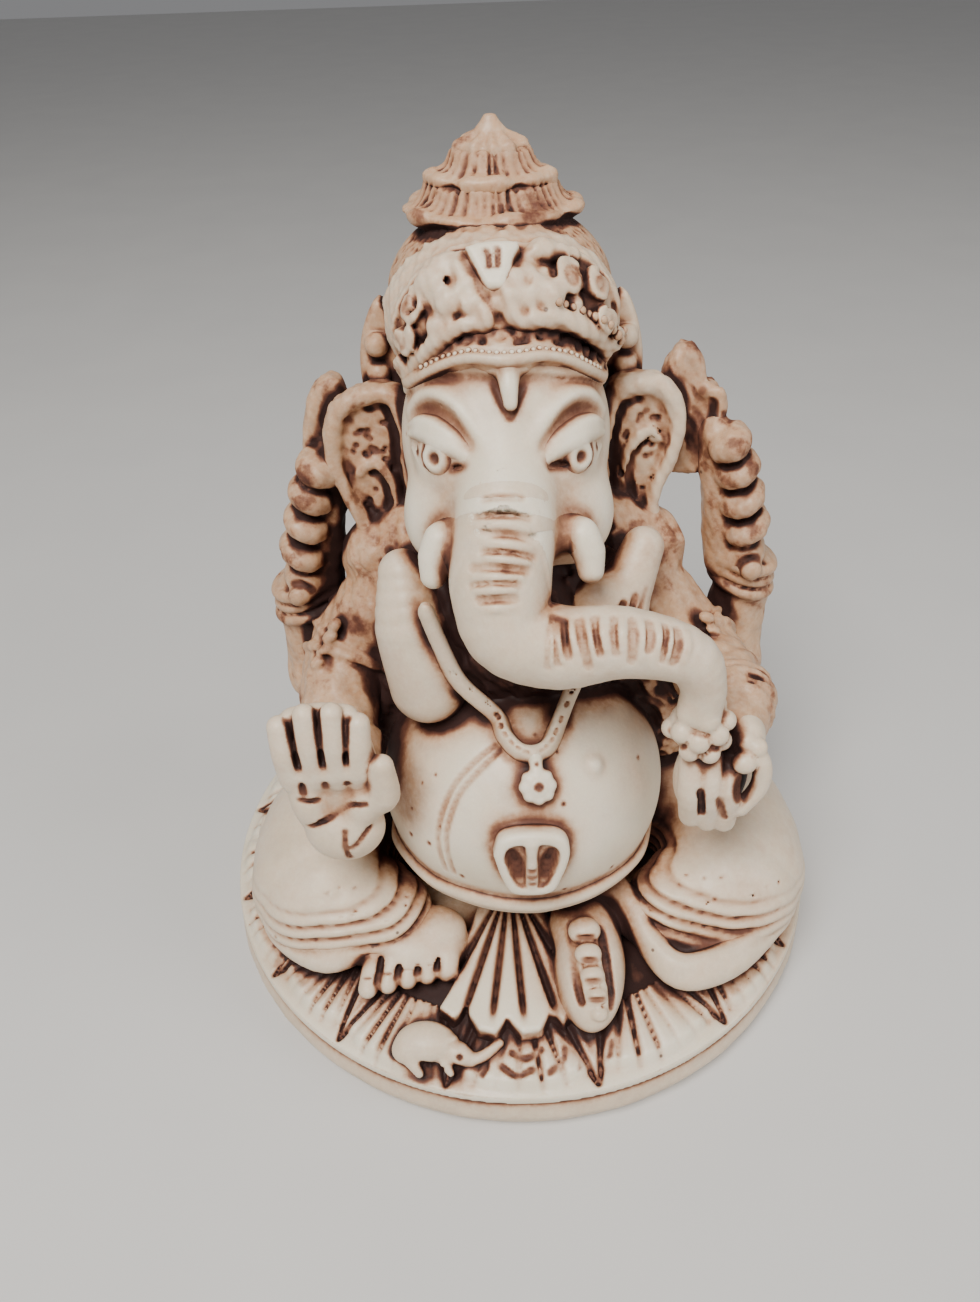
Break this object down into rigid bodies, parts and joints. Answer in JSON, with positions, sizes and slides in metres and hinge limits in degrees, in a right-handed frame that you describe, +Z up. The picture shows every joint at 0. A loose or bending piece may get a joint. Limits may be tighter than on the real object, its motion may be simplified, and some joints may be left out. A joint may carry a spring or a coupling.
{
  "type": "seated elephant-headed idol figurine",
  "caption": "Small seated elephant-headed devotional idol in antiqued ivory resin, four-armed, with a tiered crown, curved trunk and round lotus plinth.",
  "frame": {"origin": "centre of the plinth's flat underside, on the surface that the idol stands on", "axes": "+Z up through the crown, the idol looks towards -Y, +X to the viewer's right (the idol's left hand side)"},
  "size_m": [0.08, 0.08, 0.0985],
  "materials": {
    "ivory_resin": "waxy antiqued ivory, brown wash in the recesses",
    "stained_resin": "waxy tan resin with heavier brown wash"
  },
  "bodies": {
    "root": {"plinth": "ivory_resin", "mouse": "ivory_resin", "lotus_ring": "ivory_resin", "belly": "ivory_resin", "hips": "stained_resin", "chest": "stained_resin", "back_shawl": "stained_resin", "right_leg": "ivory_resin", "left_leg": "ivory_resin", "right_foot": "ivory_resin", "left_foot": "ivory_resin", "right_dhoti_hem": "ivory_resin", "left_dhoti_hem": "ivory_resin", "apron": "ivory_resin", "rear_right_upper_arm": "stained_resin", "rear_right_forearm": "stained_resin", "rear_right_bracelet": "stained_resin", "rear_right_fist": "stained_resin", "axe_blade": "stained_resin", "rear_left_upper_arm": "stained_resin", "rear_left_forearm": "stained_resin", "rear_left_bracelet": "stained_resin", "rear_left_fist": "stained_resin", "noose_loop": "stained_resin", "front_right_palm": "ivory_resin", "front_right_fingers": "ivory_resin", "front_right_thumb": "ivory_resin", "front_right_arm": "stained_resin", "front_left_hand": "ivory_resin", "sweet": "ivory_resin", "front_left_arm": "stained_resin", "right_pectoral": "stained_resin", "left_pectoral": "stained_resin", "necklace": "ivory_resin", "pendant": "ivory_resin", "belt_cord": "ivory_resin", "belt_buckle": "ivory_resin", "head": "ivory_resin", "trunk": "ivory_resin", "right_tusk": "ivory_resin", "right_eye": "ivory_resin", "right_eyelid": "ivory_resin", "left_tusk": "ivory_resin", "left_eye": "ivory_resin", "left_eyelid": "ivory_resin", "right_ear": "stained_resin", "left_ear": "stained_resin", "headband": "stained_resin", "forehead_drop": "ivory_resin", "crown_bulb": "stained_resin", "crown_tier_1": "stained_resin", "crown_tier_2": "stained_resin", "crown_tier_3": "stained_resin", "diadem": "stained_resin", "diadem_crest": "ivory_resin", "right_crown_wing": "stained_resin", "left_crown_wing": "stained_resin"}
  },
  "joints": []
}
